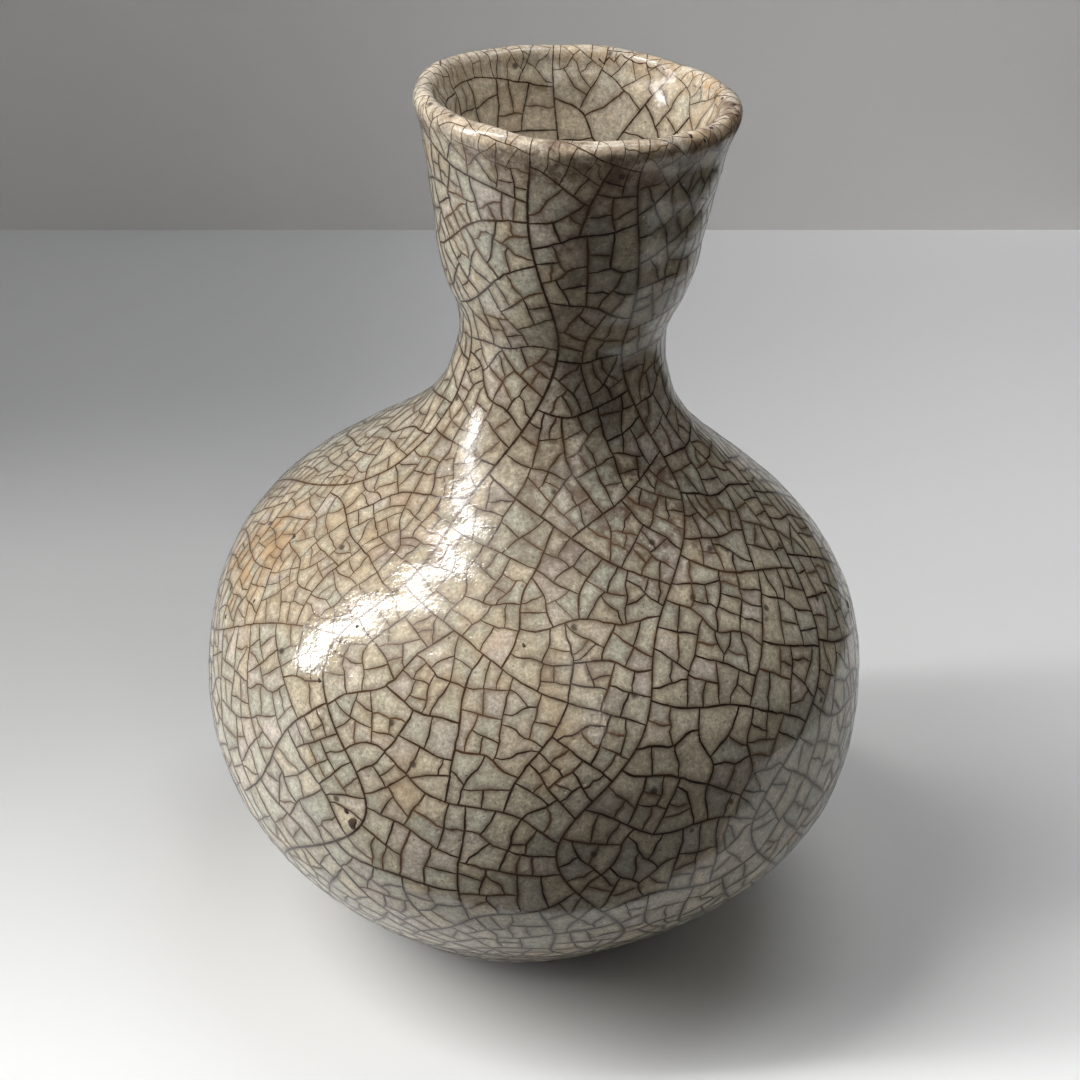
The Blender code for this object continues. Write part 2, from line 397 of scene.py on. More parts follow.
def crackle(seed):
    """All the cells, and all the cracks as (points, area of the cell that cracked)."""
    rng = np.random.default_rng(seed)
    table = rng.uniform(-1, 1, (STRIPS, 3)) * (math.pi, math.pi, 0.6)
    climbs = [long_crack(i, table) for i in range(STRIPS + 1)]
    cracks = [(climb, 900.0) for climb in climbs[:-1]]
    waiting = [np.vstack([climbs[i], climbs[i + 1][::-1]]) for i in range(STRIPS)]
    cells = []
    while waiting:
        cell = waiting.pop()
        parts = split(cell, rng)
        if parts is None:
            cells.append(cell)
            continue
        halves, crack, area = parts
        waiting.extend(halves)
        cracks.append((crack, area))
    return cells, cracks


# ---------------------------------------------------------------- the camera and the frame

WALL_AT = 0.2205
CAMERA_AT = (0.0007, -0.2169, 0.1710)
CAMERA_PITCH = math.radians(29.52)
LENS_MM = 72.0

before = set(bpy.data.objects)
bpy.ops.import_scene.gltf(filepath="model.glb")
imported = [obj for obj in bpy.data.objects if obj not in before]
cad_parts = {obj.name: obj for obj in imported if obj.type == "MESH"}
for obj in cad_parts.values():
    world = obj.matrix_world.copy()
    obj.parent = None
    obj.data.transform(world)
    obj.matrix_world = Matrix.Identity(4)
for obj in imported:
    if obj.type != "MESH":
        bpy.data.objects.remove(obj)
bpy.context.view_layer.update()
_foot_low, _foot_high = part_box("foot_ring")
FOOT_X = (_foot_low.x + _foot_high.x) / 2
stage_scene = bpy.context.scene
stage_scene.view_settings.view_transform = "Standard"


def make_camera():
    camera = bpy.data.objects.new("camera", bpy.data.cameras.new("camera"))
    stage_scene.collection.objects.link(camera)
    camera.location = CAMERA_AT
    camera.rotation_euler = (math.pi / 2 - CAMERA_PITCH, 0.0, 0.0)
    camera.data.lens = LENS_MM
    camera.data.sensor_width = 36.0
    camera.data.clip_start = 0.01
    stage_scene.camera = camera


# ---------------------------------------------------------------- building meshes


def linked(name, vertices, faces, normals=None):
    """A mesh object, smooth, with the given vertex normals."""
    mesh = bpy.data.meshes.new(name)
    mesh.from_pydata(vertices.tolist(), [], faces)
    mesh.shade_smooth()
    if normals is not None:
        mesh.normals_split_custom_set_from_vertices(normals.tolist())
    item = bpy.data.objects.new(name, mesh)
    stage_scene.collection.objects.link(item)
    return item


def add_colours(item, name, values):
    """Stores three numbers per vertex for the materials to read."""
    layer = item.data.attributes.new(name, "FLOAT_COLOR", "POINT")
    full = np.ones((len(values), 4))
    full[:, :3] = values
    layer.data.foreach_set("color", full.ravel())


def finish_piece(item, material, slot, *nodes):
    item.data.materials.append(material)
    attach(item, "root")
    if nodes:
        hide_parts(*nodes)
    return item


BACK_SHARE = 10  # front columns for each column of a coat's hidden back
BACK_SPACING = 6.0


def grid_faces(rows, columns, first, flip):
    """Quads of a ring grid of vertices; the columns close on themselves."""
    faces = []
    for i in range(rows - 1):
        for j in range(columns):
            a, b = first + i * columns + j, first + i * columns + (j + 1) % columns
            quad = (a, b, b + columns, a + columns)
            faces.append(quad[::-1] if flip else quad)
    return faces


def rim_faces(front_row, back_row, columns, back_columns, flip):
    """Joins a ring of the front to the matching, coarser ring of the back."""
    share = columns // back_columns
    faces = []
    for k in range(back_columns):
        fine = [front_row + (k * share + n) % columns for n in range(share + 1)]
        face = fine[::-1] + [back_row + k, back_row + (k + 1) % back_columns]
        faces.append(face[::-1] if flip else face)
    return faces


def coat(name, start, end, rows, columns, thickness):
    """A closed coat of glaze over a stretch of the outline, with a plain hidden back."""
    capped = end >= END - 1
    back_columns = columns // BACK_SHARE
    back_rows = max(2, math.ceil((end - start) / BACK_SPACING) + 1)
    turn = np.arange(columns) * TURN / columns
    along = np.linspace(start, end, rows)
    front_turn, front_along = np.meshgrid(turn, along)
    front_turn, front_along = front_turn.ravel(), front_along.ravel()
    back_turn, back_along = np.meshgrid(turn[::BACK_SHARE], np.linspace(start, end, back_rows))
    back_turn, back_along = back_turn.ravel(), back_along.ravel()
    front = placed(front_turn, front_along, 0.0, FOOT_X)
    back = placed(back_turn, back_along, -thickness, FOOT_X)
    normals = np.vstack([normals_at(front_turn, front_along), -normals_at(back_turn, back_along)])
    first_back = rows * columns
    faces = grid_faces(rows, columns, 0, False)
    faces += grid_faces(back_rows, back_columns, first_back, True)
    faces += rim_faces(0, first_back, columns, back_columns, False)
    last_front, last_back = (rows - 1) * columns, first_back + (back_rows - 1) * back_columns
    if capped:
        faces.append([last_front + j for j in range(columns)])
        faces.append([last_back + k for k in range(back_columns)][::-1])
    else:
        faces += rim_faces(last_front, last_back, columns, back_columns, True)
    item = linked(name, np.vstack([front, back]), faces, normals)
    return item, front_turn, front_along, front, len(back)


def cell_values(cells, columns, along, seed):
    """Three random numbers for each grid vertex, the same all over one cell."""
    rng = np.random.default_rng(seed)
    values = np.full((len(along) * columns, 3), 0.5)
    pitch, row_pitch = TURN / columns, along[1] - along[0]
    for cell in cells:
        tint = rng.random(3)
        low, high = cell.min(axis=0), cell.max(axis=0)
        rows = np.arange(
            max(0, math.ceil((low[1] - along[0]) / row_pitch)),
            min(len(along), math.floor((high[1] - along[0]) / row_pitch) + 1),
        )
        if len(rows) == 0:
            continue
        near = np.arange(math.ceil(low[0] / pitch), math.floor(high[0] / pitch) + 1)
        j, i = np.meshgrid(near, rows)
        points = np.stack([j.ravel() * pitch, along[i.ravel()]], axis=1)
        hit = inside(points, cell)
        values[i.ravel()[hit] * columns + j.ravel()[hit] % columns] = tint
    return values


def crack_tree(cracks):
    """Finds the nearest crack; its samples are close together along every crack."""
    samples = []
    for points, _ in cracks:
        count = (len(points) - 1) * 3 + 1
        at = np.linspace(0, len(points) - 1, count)
        fine = np.stack([np.interp(at, np.arange(len(points)), c) for c in points.T], axis=1)
        samples.append(fine)
    every = np.vstack(samples)
    places = placed(every[:, 0], every[:, 1], 0.0, FOOT_X)
    tree = kdtree.KDTree(len(places))
    for i, place in enumerate(places):
        tree.insert(place, i)
    tree.balance()
    return tree


HALO_WIDTH = 0.55  # how far a crack's stain has crept into the glaze, in millimetres


def halo(tree, places):
    distance = np.array([tree.find(place)[2] for place in places]) / MM
    return np.exp(-((distance / HALO_WIDTH) ** 2))


def angle_from(turn, degrees):
    return (turn - math.radians(degrees) + math.pi) % TURN - math.pi


def patch(turn, along, degrees, middle, half_width, half_length):
    """A soft round stain; its half width and half length are in millimetres."""
    across = angle_from(turn, degrees) * radius_at(along)
    return np.exp(-((across / half_width) ** 2) - ((along - middle) / half_length) ** 2)


def off_the_lip(along):
    """The lip's cracks have hardly crept into its thicker glaze."""
    return 1 - 0.80 * bell(along, LIP_TOP - 0.5, 4.2) - 0.35 * smoothstep(LIP_TOP + 5, LIP_TOP + 9, along)


def paleness(along):
    """The thick glaze of the lip is creamier, and the mouth's is whiter, than the outside's."""
    mouth = 0.70 * smoothstep(LIP_TOP + 3, LIP_TOP + 9, along)
    return np.clip(1.0 * bell(along, LIP_TOP - 0.3, 3.6) + mouth, 0, 1)


def stains(turn, along):
    """Ochre stain, brown dirt mixed with painted shade, and how many dark specks there are, at each vertex.
    """
    on_lip = bell(along, LIP_TOP - 1.0, 4.4)
    ochre = 1.4 * patch(turn, along, 192, 50.5, 5.5, 6.5) + 0.45 * patch(turn, along, 205, 60, 12, 14)
    ochre += 0.45 * patch(turn, along, 252, 57, 7, 7) + 0.45 * patch(turn, along, 248, 40, 4, 4)
    ochre += (0.62 - 0.30 * np.cos(turn - math.radians(190))) * on_lip
    ochre += 0.35 * patch(turn, along, 20, LIP_TOP + 5, 7, 6)
    ochre += 0.4 * patch(turn, along, 272, 48, 4, 12) + 0.35 * patch(turn, along, 230, 70, 8, 9)
    lip_front = 0.5 + 0.5 * np.cos(turn - math.radians(278))
    dirt_and_shade = 0.75 * patch(turn, along, 268, LIP_TOP - 10, 3.6, 13)
    dirt_and_shade += bell(along, LIP_TOP - 3.6, 1.3) * (0.25 + 1.30 * lip_front**2)
    dirt_and_shade += 0.80 * on_lip * lip_front**1.5 + 0.7 * patch(turn, along, 350, LIP_TOP, 5, 3)
    dirt_and_shade += 0.5 * patch(turn, along, 262, length_at(78), 3.5, 5.0) + 0.4 * bell(along, length_at(68), 9)
    # Painted shadow: the neck's shadow on the right shoulder is painted in as a brown patch. The second term
    # makes the glaze darker towards the foot.
    dirt_and_shade += 0.95 * patch(turn, along, 300, length_at(60), 15, 10) + 0.35 * bell(along, 6, 11)
    specks = 0.25 + 0.75 * on_lip * (0.5 + 0.5 * np.cos(turn - math.radians(335)))
    specks += 0.6 * patch(turn, along, 193, 50, 5, 8)
    return np.clip(np.stack([ochre, dirt_and_shade, specks], axis=1), 0, 1)


def glaze_coat(name, start, end, rows, columns, thickness, network, tree, material, slot, node):
    """A coat of glaze, and the creep of the cracks in it, both coloured from the same values."""
    item, turn, along, front, behind = coat(name, start, end, rows, columns, thickness)
    lengths = np.linspace(start, end, rows)
    cells = cell_values(network[0], columns, lengths, 3)
    near = np.repeat((halo(tree, front) * off_the_lip(along))[:, None], 3, axis=1)
    plain = np.full((behind, 3), 0.5)
    add_colours(item, "cell", np.vstack([cells, plain]))
    # The second stain number holds brown dirt together with the painted shadow of the neck on the right
    # shoulder.
    add_colours(item, "stain", np.vstack([stains(turn, along), plain * 0]))
    near[:, 1], near[:, 2] = 0.0, paleness(along)
    add_colours(item, "creep", np.vstack([near, plain * 0]))
    finish_piece(item, material, slot, node)

    strips = crack_creep(network[1], start, min(end, THROAT + 30))
    creep = strips.item(name + "_creep")
    turn, along = np.hstack(strips.turns), np.hstack(strips.alongs)
    where = (columns, start, lengths[1] - lengths[0], turn, along)
    add_colours(creep, "cell", grid_values(cells, *where))
    # The creep strips carry the same painted neck shadow in their second stain number.
    add_colours(creep, "stain", stains(turn, along))
    marks = np.vstack(strips.marks)
    marks[:, 0] = grid_values(near, *where)[:, 0]
    marks[:, 1] *= off_the_lip(along) * (1 - 0.65 * rusty(turn, along))
    marks[:, 2] = paleness(along)
    add_colours(creep, "creep", marks)
    finish_piece(creep, material, slot)


# Iron spots and pits: degrees about the axis, length along the outline, radius in millimetres.
SPOTS = (
    (239.8, 33.3, 0.70),
    (238.4, 34.5, 0.38),
    (352.0, 48.3, 0.50),
    (228.5, 47.3, 0.26),
    (230.8, 54.3, 0.22),
    (193.0, 46.5, 0.42),
    (199.5, 57.0, 0.36),
    (188.0, 54.5, 0.34),
    (196.5, 44.0, 0.28),
    (204.0, 49.0, 0.22),
    (264.8, 57.3, 0.22),
    (311.8, LIP_TOP - 0.6, 0.26),
    (317.0, LIP_TOP - 1.4, 0.20),
    (325.0, LIP_TOP - 0.3, 0.30),
    (333.0, LIP_TOP + 0.6, 0.22),
    (345.0, LIP_TOP - 1.0, 0.26),
    (353.0, LIP_TOP - 0.2, 0.34),
    (2.0, LIP_TOP + 0.8, 0.24),
)
SPOT_RINGS = ((1.0, -0.03), (0.82, 0.03), (0.45, 0.07))  # share of the radius, and lift in millimetres
SPOT_SIDES = 14


def iron_spots(material, slot):
    rng = np.random.default_rng(5)
    turns, alongs, lifts, faces = [], [], [], []
    spin = np.arange(SPOT_SIDES) * TURN / SPOT_SIDES
    for degrees, along, radius in SPOTS:
        first = sum(len(part) for part in turns)
        a, b = rng.uniform(0, TURN, 2)
        edge = radius * (1 + 0.24 * np.sin(2 * spin + a) + 0.14 * np.sin(3 * spin + b))
        for share, lift in SPOT_RINGS:
            turns.append(math.radians(degrees) + edge * share * np.cos(spin) / float(radius_at(along)))
            alongs.append(along + edge * share * np.sin(spin))
            lifts.append(np.full(SPOT_SIDES, lift))
        turns.append(np.full(2, math.radians(degrees)))
        alongs.append(np.full(2, along))
        lifts.append(np.array([0.085, -0.15]))
        top = first + len(SPOT_RINGS) * SPOT_SIDES
        for k in range(SPOT_SIDES):
            n = (k + 1) % SPOT_SIDES
            for ring in range(len(SPOT_RINGS) - 1):
                low = first + ring * SPOT_SIDES
                faces.append((low + k, low + n, low + SPOT_SIDES + n, low + SPOT_SIDES + k))
            faces.append((top - SPOT_SIDES + k, top - SPOT_SIDES + n, top))
            faces.append((first + n, first + k, top + 1))
    places = placed(np.hstack(turns), np.hstack(alongs), np.hstack(lifts), FOOT_X)
    return finish_piece(linked("iron_spots", places, faces), material, slot)


def rim_hairline():
    """A jagged crack along the back of the rim, drawn with the others."""
    rng = np.random.default_rng(9)
    turn = np.radians(np.linspace(48, 80, 15))
    along = LIP_TOP + 1.3 + rng.normal(0, 0.28, 15)
    return np.stack([turn, along], axis=1), 1e5


CORE_LIFT, CREEP_LIFT = 0.020, 0.006  # how far the strips of a crack stand over the glaze
KEEL = 0.07  # and how far they reach into it
CREEP_SIDE = 0.52  # how far the stain spreads each side of a crack's dark line
FINE_STEP = 0.28  # spacing of the points where a crack bends over the lip


def resampled(points):
    """The crack's points, closer together over the lip."""
    if np.abs(points[:, 1] - LIP_TOP).min() > 7:
        return points
    count = (len(points) - 1) * math.ceil(CRACK_STEP / FINE_STEP) + 1
    at = np.linspace(0, len(points) - 1, count)
    return np.stack([np.interp(at, np.arange(len(points)), c) for c in points.T], axis=1)


def stretch_within(points, start, end):
    """The part of a crack between two lengths; short cracks are kept or left whole."""
    if len(points) < 60:
        middle = points[len(points) // 2, 1]
        return resampled(points) if start <= middle < end else points[:0]
    fine = resampled(points)
    return fine[(fine[:, 1] >= start - FINE_STEP) & (fine[:, 1] <= end + FINE_STEP)]


def beside(turn, along, across, forward, off):
    """A crack's points moved sideways over the surface by some millimetres."""
    return turn + across * off / radius_at(along), along + forward * off


class Strips:
    """Collects closed strips that lie along the cracks, all in one mesh."""

    def __init__(self, tops):
        self.wide = tops + 1  # the last vertex of each cross-section is the keel
        self.turns, self.alongs, self.lifts, self.marks, self.faces = [], [], [], [], []
        self.count = 0

    def add(self, points, offsets, lifts, marks):
        """One strip: for each point the sideways offset, lift and mark of its top vertices."""
        turn, along = points.T
        run = np.stack([np.gradient(turn) * radius_at(along), np.gradient(along)], axis=1)
        run /= np.linalg.norm(run, axis=1)[:, None] + 1e-9
        sides = [beside(turn, along, -run[:, 1], run[:, 0], off) for off in offsets]
        self.turns.append(np.stack([side[0] for side in sides] + [turn], axis=1).ravel())
        self.alongs.append(np.stack([side[1] for side in sides] + [along], axis=1).ravel())
        self.lifts.append(np.tile([*lifts, -KEEL], len(points)))
        self.marks.append(np.stack([*marks, marks[0]], axis=1).reshape(-1, 3))
        wide = self.wide
        for base in range(self.count, self.count + (len(points) - 1) * wide, wide):
            for k in range(wide):
                a, b = base + k, base + (k + 1) % wide
                self.faces.append((a, b, b + wide, a + wide))
        last = self.count + (len(points) - 1) * wide
        self.faces.append([self.count + k for k in range(wide)][::-1])
        self.faces.append([last + k for k in range(wide)])
        self.count += len(points) * wide

    def item(self, name):
        turn, along, lift = np.hstack(self.turns), np.hstack(self.alongs), np.hstack(self.lifts)
        normals = normals_at(turn, along)
        normals[self.wide - 1 :: self.wide] *= -1
        return linked(name, placed(turn, along, lift, FOOT_X), self.faces, normals)


def rusty(turn, along):
    """How orange the cracks are: most on the left shoulder, a little near stains."""
    shoulder = 0.9 * patch(turn, along, 205, 56, 24, 20) + 0.4 * patch(turn, along, 262, 58, 9, 12)
    return np.clip(shoulder + 0.75 * bell(along, LIP_TOP, 4), 0, 1)


def crack_lines(name, cracks, start, end, material, slot, seed):
    """The dark lines of the cracks between two lengths."""
    rng = np.random.default_rng(seed)
    strips = Strips(2)
    for points, area in cracks:
        width = float(np.clip(0.140 + 0.040 * math.log10(area / 8), 0.115, 0.21)) * rng.uniform(0.8, 1.2)
        middle = points[len(points) // 2]
        width *= 0.55 if start < LIP_TOP < end else 1 - 0.42 * float(rusty(*middle))
        tone, phase = rng.random(), rng.uniform(0, TURN)
        used = stretch_within(points, start, end)
        if len(used) < 2:
            continue
        steps = np.arange(len(used))
        half = width / 2 * (1 + 0.22 * np.sin(steps * 1.3 + phase) + 0.12 * np.sin(steps * 2.9 + tone * 9))
        dark = np.full(len(used), np.clip(0.2 + 0.28 * math.log10(max(area, 8) / 8), 0, 1))
        mark = np.stack([np.full(len(used), tone), dark, rusty(*used.T)], axis=1)
        strips.add(used, (half, -half), (CORE_LIFT, CORE_LIFT), (mark, mark))
    item = strips.item(name)
    add_colours(item, "tone", np.vstack(strips.marks))
    return finish_piece(item, material, slot)


def crack_creep(cracks, start, end):
    """The stain that has crept from the cracks into the glaze beside them."""
    strips = Strips(3)
    for points, area in cracks:
        used = stretch_within(points, start, end)
        if len(used) < 2:
            continue
        steps = np.arange(len(used))
        taper = np.clip(np.minimum(steps, steps[::-1]) / max(1, min(2, len(used) // 3)), 0.15, 1)
        off = CREEP_SIDE * taper * (1 + 0.25 * np.sin(steps * 0.9 + area))
        none = np.zeros((len(used), 3))
        full = none + (0.0, 1.0, 0.0)
        lifts = (CREEP_LIFT / 2, CREEP_LIFT, CREEP_LIFT / 2)
        strips.add(used, (off, off * 0, -off), lifts, (none, full, none))
    return strips


def grid_values(values, columns, start, pitch, turn, along):
    """Reads a coat's per-vertex values between its grid vertices."""
    rows = len(values) // columns
    grid = values.reshape(rows, columns, 3)
    u = (turn % TURN) / TURN * columns
    v = np.clip((along - start) / pitch, 0, rows - 1.001)
    j, i = np.floor(u).astype(int), np.floor(v).astype(int)
    fu, fv = (u - j)[:, None], (v - i)[:, None]
    j, k = j % columns, (j + 1) % columns
    near = grid[i, j] * (1 - fu) + grid[i, k] * fu
    return near * (1 - fv) + (grid[i + 1, j] * (1 - fu) + grid[i + 1, k] * fu) * fv


# ---------------------------------------------------------------- materials


PEBBLE, SWELL, PIT = 0.000036, 0.00002, 0.00003  # depths of the glaze's unevenness, in metres


class Nodes:
    """A short way to write a material's node tree."""

    def __init__(self, name):
        self.material = bpy.data.materials.new(name)
        self.material.use_nodes = True
        self.tree = self.material.node_tree
        self.shader = self.tree.nodes["Principled BSDF"]
        self.place = self.add("ShaderNodeTexCoord").outputs["Object"]

    def add(self, kind, **settings):
        node = self.tree.nodes.new(kind)
        for key, value in settings.items():
            setattr(node, key, value)
        return node

    def feed(self, socket, value):
        if isinstance(value, (int, float, tuple)):
            socket.default_value = (*value, 1.0) if isinstance(value, tuple) and len(value) == 3 else value
        else:
            self.tree.links.new(value, socket)

    def mix(self, share, first, second, blend="MIX"):
        node = self.add("ShaderNodeMix", data_type="RGBA", blend_type=blend)
        self.feed(node.inputs[0], share)
        self.feed(node.inputs[6], first)
        self.feed(node.inputs[7], second)
        return node.outputs[2]

    def sum(self, kind, first, second, clamp=False):
        node = self.add("ShaderNodeMath", operation=kind, use_clamp=clamp)
        self.feed(node.inputs[0], first)
        self.feed(node.inputs[1], second)
        return node.outputs[0]

    def ranged(self, value, low, high, to_low=0.0, to_high=1.0, smooth=True):
        node = self.add("ShaderNodeMapRange")
        node.interpolation_type = "SMOOTHSTEP" if smooth else "LINEAR"
        self.feed(node.inputs[0], value)
        for i, number in enumerate((low, high, to_low, to_high)):
            node.inputs[i + 1].default_value = number
        return node.outputs[0]

    def noise(self, per_metre, detail=3.0, rough=0.55, warp=0.0):
        node = self.add("ShaderNodeTexNoise")
        self.feed(node.inputs["Vector"], self.place)
        node.inputs["Scale"].default_value = per_metre
        node.inputs["Detail"].default_value = detail
        node.inputs["Roughness"].default_value = rough
        node.inputs["Distortion"].default_value = warp
        return node.outputs["Fac"]

    def dots(self, per_metre, randomness=1.0):
        """Distance to the nearest of many scattered points, and that point's random colour."""
        node = self.add("ShaderNodeTexVoronoi")
        self.feed(node.inputs["Vector"], self.place)
        node.inputs["Scale"].default_value = per_metre
        node.inputs["Randomness"].default_value = randomness
        parts = self.add("ShaderNodeSeparateColor")
        self.feed(parts.inputs[0], node.outputs["Color"])
        return node.outputs["Distance"], parts.outputs[0]

    def stored(self, name):
        node = self.add("ShaderNodeAttribute", attribute_name=name)
        parts = self.add("ShaderNodeSeparateColor")
        self.feed(parts.inputs[0], node.outputs["Color"])
        return parts.outputs

    def bump(self, height, depth, strength=1.0, under=None):
        node = self.add("ShaderNodeBump")
        node.inputs["Strength"].default_value = strength
        node.inputs["Distance"].default_value = depth
        self.feed(node.inputs["Height"], height)
        if under is not None:
            self.feed(node.inputs["Normal"], under)
        return node.outputs["Normal"]

    def pebbles(self):
        """The uneven skin of the glaze: fine pebbles, slow swells and pinholes."""
        fine = self.bump(self.noise(1650, 2.0, 0.5), PEBBLE)
        slow = self.bump(self.noise(190, 2.0, 0.5), SWELL, 1.0, fine)
        return self.bump(self.ranged(self.dots(520)[0], 0.04, 0.14), PIT, 1.0, slow)


CREAM = (0.700, 0.612, 0.455)
GREY_GREEN = (0.595, 0.580, 0.470)
PINK_GREY = (0.640, 0.560, 0.480)
PALE = (0.880, 0.790, 0.640)
OCHRE = (0.600, 0.370, 0.170)
BROWN = (0.150, 0.085, 0.048)
CREEP = (0.115, 0.068, 0.040)
SPECK = (0.045, 0.030, 0.022)


def glaze_material(name):
    n = Nodes(name)
    cell, stain, creep = n.stored("cell"), n.stored("stain"), n.stored("creep")
    blotch = n.noise(55, 3.0)
    cloud = n.noise(190, 4.0, 0.6)
    grain = n.noise(1700, 4.0, 0.7)
    fine = n.noise(4200, 3.0, 0.7)

    lean = n.sum("ADD", n.sum("MULTIPLY", cell[0], 0.55), n.sum("MULTIPLY", blotch, 0.55))
    colour = n.mix(n.ranged(lean, 0.30, 0.90), CREAM, GREY_GREEN)
    colour = n.mix(n.ranged(n.sum("MULTIPLY", cell[1], cloud), 0.25, 0.60), colour, PINK_GREY)
    colour = n.mix(creep[2], colour, PALE)
    value = n.ranged(cell[2], 0.0, 1.0, 0.88, 1.08, False)
    value = n.sum("MULTIPLY", value, n.ranged(grain, 0.32, 0.68, 0.72, 1.18))
    value = n.sum("MULTIPLY", value, n.ranged(fine, 0.34, 0.66, 0.80, 1.14))
    value = n.sum("MULTIPLY", value, n.ranged(cloud, 0.30, 0.70, 0.90, 1.04))
    shade = n.add("ShaderNodeCombineColor")
    for socket in shade.inputs:
        n.feed(socket, value)
    colour = n.mix(1.0, colour, shade.outputs[0], "MULTIPLY")

    ochre_share = n.sum("MULTIPLY", stain[0], n.ranged(n.noise(330, 5.0, 0.7), 0.36, 0.62))
    colour = n.mix(n.sum("MULTIPLY", ochre_share, 0.75), colour, OCHRE)
    rust = n.sum("MULTIPLY", n.ranged(n.noise(120, 5.0, 0.7, 0.6), 0.57, 0.74), 0.34)
    colour = n.mix(rust, colour, OCHRE)
    # Brown dirt and painted shade: the neck's painted shadow on the right shoulder and the darker glaze
    # towards the foot come in through the second stain number.
    dirt_and_shade_share = n.sum("MULTIPLY", stain[1], n.ranged(n.noise(420, 5.0, 0.72), 0.40, 0.66))
    colour = n.mix(n.sum("MULTIPLY", dirt_and_shade_share, 0.92), colour, BROWN)

    patchy = n.ranged(n.noise(260, 4.0, 0.6), 0.35, 0.70, 0.35, 1.0)
    colour = n.mix(n.sum("MULTIPLY", n.sum("MULTIPLY", creep[0], patchy), 0.62), colour, CREEP)
    beside = n.sum("MULTIPLY", n.sum("POWER", creep[1], 1.25), n.ranged(grain, 0.30, 0.60, 0.55, 1.0))
    colour = n.mix(n.sum("MULTIPLY", beside, 0.92), colour, CREEP)

    distance, chance = n.dots(1050)
    small = n.sum("MULTIPLY", n.ranged(distance, 0.10, 0.24, 1.0, 0.0), n.ranged(chance, 0.66, 0.76))
    colour = n.mix(n.sum("MULTIPLY", small, 0.40), colour, SPECK)
    distance, chance = n.dots(480)
    wanted = n.sum("LESS_THAN", chance, n.sum("MULTIPLY", stain[2], 0.34))
    large = n.sum("MULTIPLY", n.ranged(distance, 0.10, 0.26, 1.0, 0.0), wanted)
    colour = n.mix(n.sum("MULTIPLY", large, 0.8), colour, SPECK)

    n.feed(n.shader.inputs["Base Color"], colour)
    rough = n.ranged(n.noise(140, 4.0, 0.6), 0.3, 0.7, 0.055, 0.12)
    rough = n.sum("ADD", rough, n.sum("MULTIPLY", dirt_and_shade_share, 0.25))
    rough = n.sum("ADD", rough, n.sum("MULTIPLY", ochre_share, 0.22))
    n.feed(n.shader.inputs["Roughness"], rough)
    n.shader.inputs["IOR"].default_value = 1.5
    n.feed(n.shader.inputs["Normal"], n.pebbles())
    return n.material


def crack_material(name):
    n = Nodes(name)
    tone = n.stored("tone")
    wander = n.noise(150, 3.0, 0.6)
    rust = n.ranged(n.sum("ADD", n.sum("MULTIPLY", tone[0], 0.5), wander), 0.60, 1.0)
    rust = n.sum("MULTIPLY", rust, n.ranged(tone[1], 0.2, 0.7, 0.9, 0.35))
    rust = n.sum("MAXIMUM", rust, n.sum("MULTIPLY", tone[2], n.ranged(wander, 0.3, 0.6, 0.4, 1.0)))
    colour = n.mix(rust, (0.033, 0.021, 0.014), (0.165, 0.082, 0.036))
    n.feed(n.shader.inputs["Base Color"], colour)
    n.shader.inputs["Roughness"].default_value = 0.22
    n.feed(n.shader.inputs["Normal"], n.pebbles())
    return n.material


def spot_material(name):
    n = Nodes(name)
    mottle = n.ranged(n.noise(1300, 4.0, 0.7), 0.4, 0.65)
    colour = n.mix(mottle, (0.022, 0.015, 0.012), (0.110, 0.058, 0.032))
    n.feed(n.shader.inputs["Base Color"], colour)
    n.feed(n.shader.inputs["Roughness"], n.ranged(n.noise(900, 3.0), 0.3, 0.7, 0.30, 0.65))
    n.feed(n.shader.inputs["Normal"], n.bump(n.noise(2600, 4.0, 0.7), 0.00005))
    return n.material


def base_material(name):
    """The glaze under the foot, with a crackle that the material draws."""
    n = Nodes(name)
    lines = n.add("ShaderNodeTexVoronoi", feature="DISTANCE_TO_EDGE")
    warp = n.add("ShaderNodeVectorMath", operation="ADD")
    nudge = n.add("ShaderNodeTexNoise")
    n.feed(nudge.inputs["Vector"], n.place)
    nudge.inputs["Scale"].default_value = 260
    shift = n.add("ShaderNodeVectorMath", operation="SCALE")
    n.feed(shift.inputs[0], nudge.outputs["Color"])
    shift.inputs["Scale"].default_value = 0.0016
    n.feed(warp.inputs[0], n.place)
    n.feed(warp.inputs[1], shift.outputs[0])
    n.feed(lines.inputs["Vector"], warp.outputs[0])
    lines.inputs["Scale"].default_value = 290
    colour = n.mix(n.ranged(n.noise(1700, 4.0, 0.7), 0.3, 0.7), GREY_GREEN, CREAM)
    colour = n.mix(n.ranged(lines.outputs["Distance"], 0.0, 0.16, 0.75, 0.0), colour, CREEP)
    dark = n.ranged(lines.outputs["Distance"], 0.018, 0.034, 1.0, 0.0)
    colour = n.mix(dark, colour, (0.035, 0.024, 0.018))
    n.feed(n.shader.inputs["Base Color"], colour)
    n.feed(n.shader.inputs["Roughness"], n.ranged(n.noise(140, 4.0), 0.3, 0.7, 0.12, 0.24))
    n.feed(n.shader.inputs["Normal"], n.pebbles())
    return n.material


def clay_material(name, dark, light, depth=0.00012):
    n = Nodes(name)
    colour = n.mix(n.ranged(n.noise(140, 5.0, 0.65), 0.32, 0.68), dark, light)
    colour = n.mix(n.ranged(n.noise(1400, 4.0, 0.7), 0.48, 0.75, 0.0, 0.5), colour, SPECK)
    n.feed(n.shader.inputs["Base Color"], colour)
    n.feed(n.shader.inputs["Roughness"], n.ranged(n.noise(260, 3.0), 0.3, 0.7, 0.62, 0.85))
    grit = n.bump(n.noise(2300, 5.0, 0.7), depth)
    n.feed(n.shader.inputs["Normal"], n.bump(n.noise(420, 3.0), depth, 1.0, grit))
    return n.material


